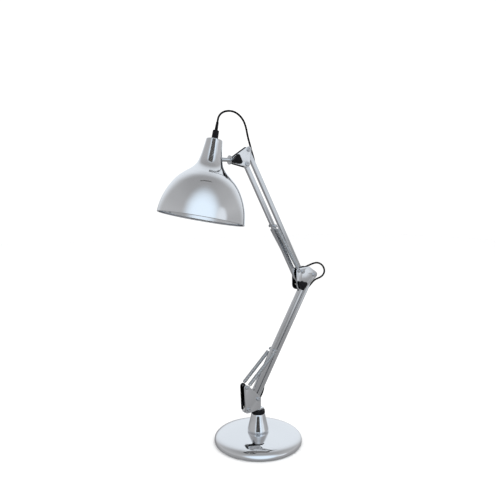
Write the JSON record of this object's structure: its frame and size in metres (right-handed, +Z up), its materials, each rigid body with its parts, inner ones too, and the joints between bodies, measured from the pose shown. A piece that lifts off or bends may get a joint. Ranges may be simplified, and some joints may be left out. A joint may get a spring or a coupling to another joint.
{
  "type": "accordion desk lamp",
  "caption": "Desk lamp with two sprung parallel-bar arms, a tilting bell shade, clamp knobs at elbow and head, and a weighted round foot that lets the arms swivel.",
  "frame": {"origin": "middle of the foot's underside, on the surface that it stands on", "axes": "+Z up; the arms lie in the plane Y = 0, the elbow points to +X and the shade hangs to -X; the knobs are on the -Y side"},
  "size_m": [0.398, 0.19, 0.7034],
  "materials": {
    "chrome": "polished chrome plate",
    "bright_steel": "zinc-plated steel",
    "spring_steel": "bright spring steel",
    "cast_iron": "raw cast iron",
    "soft_pad": "soft non-slip pad",
    "black_plastic": "moulded, soft gloss",
    "black_cord": "smooth flexible sheath",
    "nylon": "natural nylon",
    "brass": "turned brass",
    "holder_plastic": "moulded white plastic",
    "bulb_glass": "frosted glass",
    "bulb_metal": "pressed cap"
  },
  "bodies": {
    "base": {"foot_pad": "soft_pad", "foot_weight": "cast_iron", "foot_cover": "chrome", "outlet_grommet": "black_cord", "foot_lead": "black_cord", "foot_screws": "bright_steel", "stem": "chrome", "swivel_ring": "black_plastic"},
    "turret": {"spindle": "bright_steel", "spindle_clip": "bright_steel", "foot_bracket": "chrome", "foot_bolts": "bright_steel", "foot_nuts": "bright_steel", "foot_spring_studs": "bright_steel", "lower_spring_near": "spring_steel", "lower_spring_far": "spring_steel", "foot_cord": "black_cord"},
    "lower_arm": {"lower_bar": "chrome", "lower_bar_bushes": "nylon", "lower_lead": "black_cord"},
    "lower_arm_link": {"lower_link": "chrome", "lower_link_bushes": "nylon", "lower_cross_pin": "bright_steel"},
    "elbow": {"elbow_plate_near": "chrome", "elbow_plate_far": "chrome", "elbow_bolts": "bright_steel", "elbow_nuts": "bright_steel", "elbow_spring_studs": "bright_steel", "elbow_clamp_bolt": "bright_steel", "upper_spring_near": "spring_steel", "upper_spring_far": "spring_steel", "elbow_cord": "black_cord"},
    "elbow_clamp": {"elbow_knob": "black_plastic", "elbow_knob_insert": "brass"},
    "upper_arm": {"upper_bar": "chrome", "upper_bar_bushes": "nylon", "upper_lead": "black_cord"},
    "upper_arm_link": {"upper_link": "chrome", "upper_link_bushes": "nylon", "upper_cross_pin": "bright_steel"},
    "head": {"head_plate_near": "chrome", "head_plate_far": "chrome", "head_bolts": "bright_steel", "head_nuts": "bright_steel", "head_washers": "black_plastic", "head_clamp_bolt": "bright_steel", "head_cord": "black_cord"},
    "head_clamp": {"head_knob": "black_plastic", "head_knob_insert": "brass"},
    "shade": {"shade_shell": "chrome", "shade_stud": "chrome", "shade_stud_nut": "bright_steel", "shade_nipple": "brass", "neck_collar": "chrome", "gland_cap": "black_plastic", "strain_relief": "black_cord", "lamp_holder": "holder_plastic", "bulb": "bulb_glass", "bulb_cap": "bulb_metal", "shade_lead": "black_cord"}
  },
  "joints": [
    {"name": "base_swivel", "type": "hinge", "parent": "base", "child": "turret", "pos_m": [0, 0, 0.07], "axis": [0, 0, 1], "range_deg": [-170, 170]},
    {"name": "lower_arm_tilt", "type": "hinge", "parent": "turret", "child": "lower_arm", "pos_m": [-0.005, 0, 0.098], "axis": [0, 1, 0], "range_deg": [-60, 3], "deforming": ["lower_spring_near", "lower_spring_far", "foot_cord"]},
    {"name": "lower_link_tilt", "type": "hinge", "parent": "turret", "child": "lower_arm_link", "pos_m": [-0.029, 0, 0.079], "axis": [0, 1, 0], "range_deg": [-60, 3], "deforming": ["lower_spring_near", "lower_spring_far"]},
    {"name": "elbow_level", "type": "hinge", "parent": "lower_arm", "child": "elbow", "pos_m": [0.14129, 0, 0.35762], "axis": [0, 1, 0], "range_deg": [-3, 60], "deforming": ["elbow_cord"]},
    {"name": "upper_arm_tilt", "type": "hinge", "parent": "elbow", "child": "upper_arm", "pos_m": [0.10929, 0, 0.36662], "axis": [0, 1, 0], "range_deg": [-54, 13], "deforming": ["upper_spring_near", "upper_spring_far", "elbow_cord"]},
    {"name": "upper_link_tilt", "type": "hinge", "parent": "elbow", "child": "upper_arm_link", "pos_m": [0.10549, 0, 0.33692], "axis": [0, 1, 0], "range_deg": [-54, 13], "deforming": ["upper_spring_near", "upper_spring_far"]},
    {"name": "head_level", "type": "hinge", "parent": "upper_arm", "child": "head", "pos_m": [-0.02783, 0, 0.62669], "axis": [0, 1, 0], "range_deg": [-13, 54], "deforming": ["head_cord"]},
    {"name": "shade_tilt", "type": "hinge", "parent": "head", "child": "shade", "pos_m": [-0.05703, 0, 0.60399], "axis": [0, 1, 0], "range_deg": [-15, 40], "deforming": ["head_cord"]},
    {"name": "elbow_knob_turn", "type": "hinge", "parent": "elbow", "child": "elbow_clamp", "pos_m": [0.10549, 0, 0.33692], "axis": [0, -1, 0], "range_deg": [0, 270]},
    {"name": "head_knob_turn", "type": "hinge", "parent": "head", "child": "head_clamp", "pos_m": [-0.05703, 0, 0.60399], "axis": [0, -1, 0], "range_deg": [0, 270]}
  ],
  "couplings": [
    {"joint": "lower_link_tilt", "follows": "lower_arm_tilt", "ratio": 1},
    {"joint": "elbow_level", "follows": "lower_arm_tilt", "ratio": -1},
    {"joint": "upper_link_tilt", "follows": "upper_arm_tilt", "ratio": 1},
    {"joint": "head_level", "follows": "upper_arm_tilt", "ratio": -1}
  ]
}
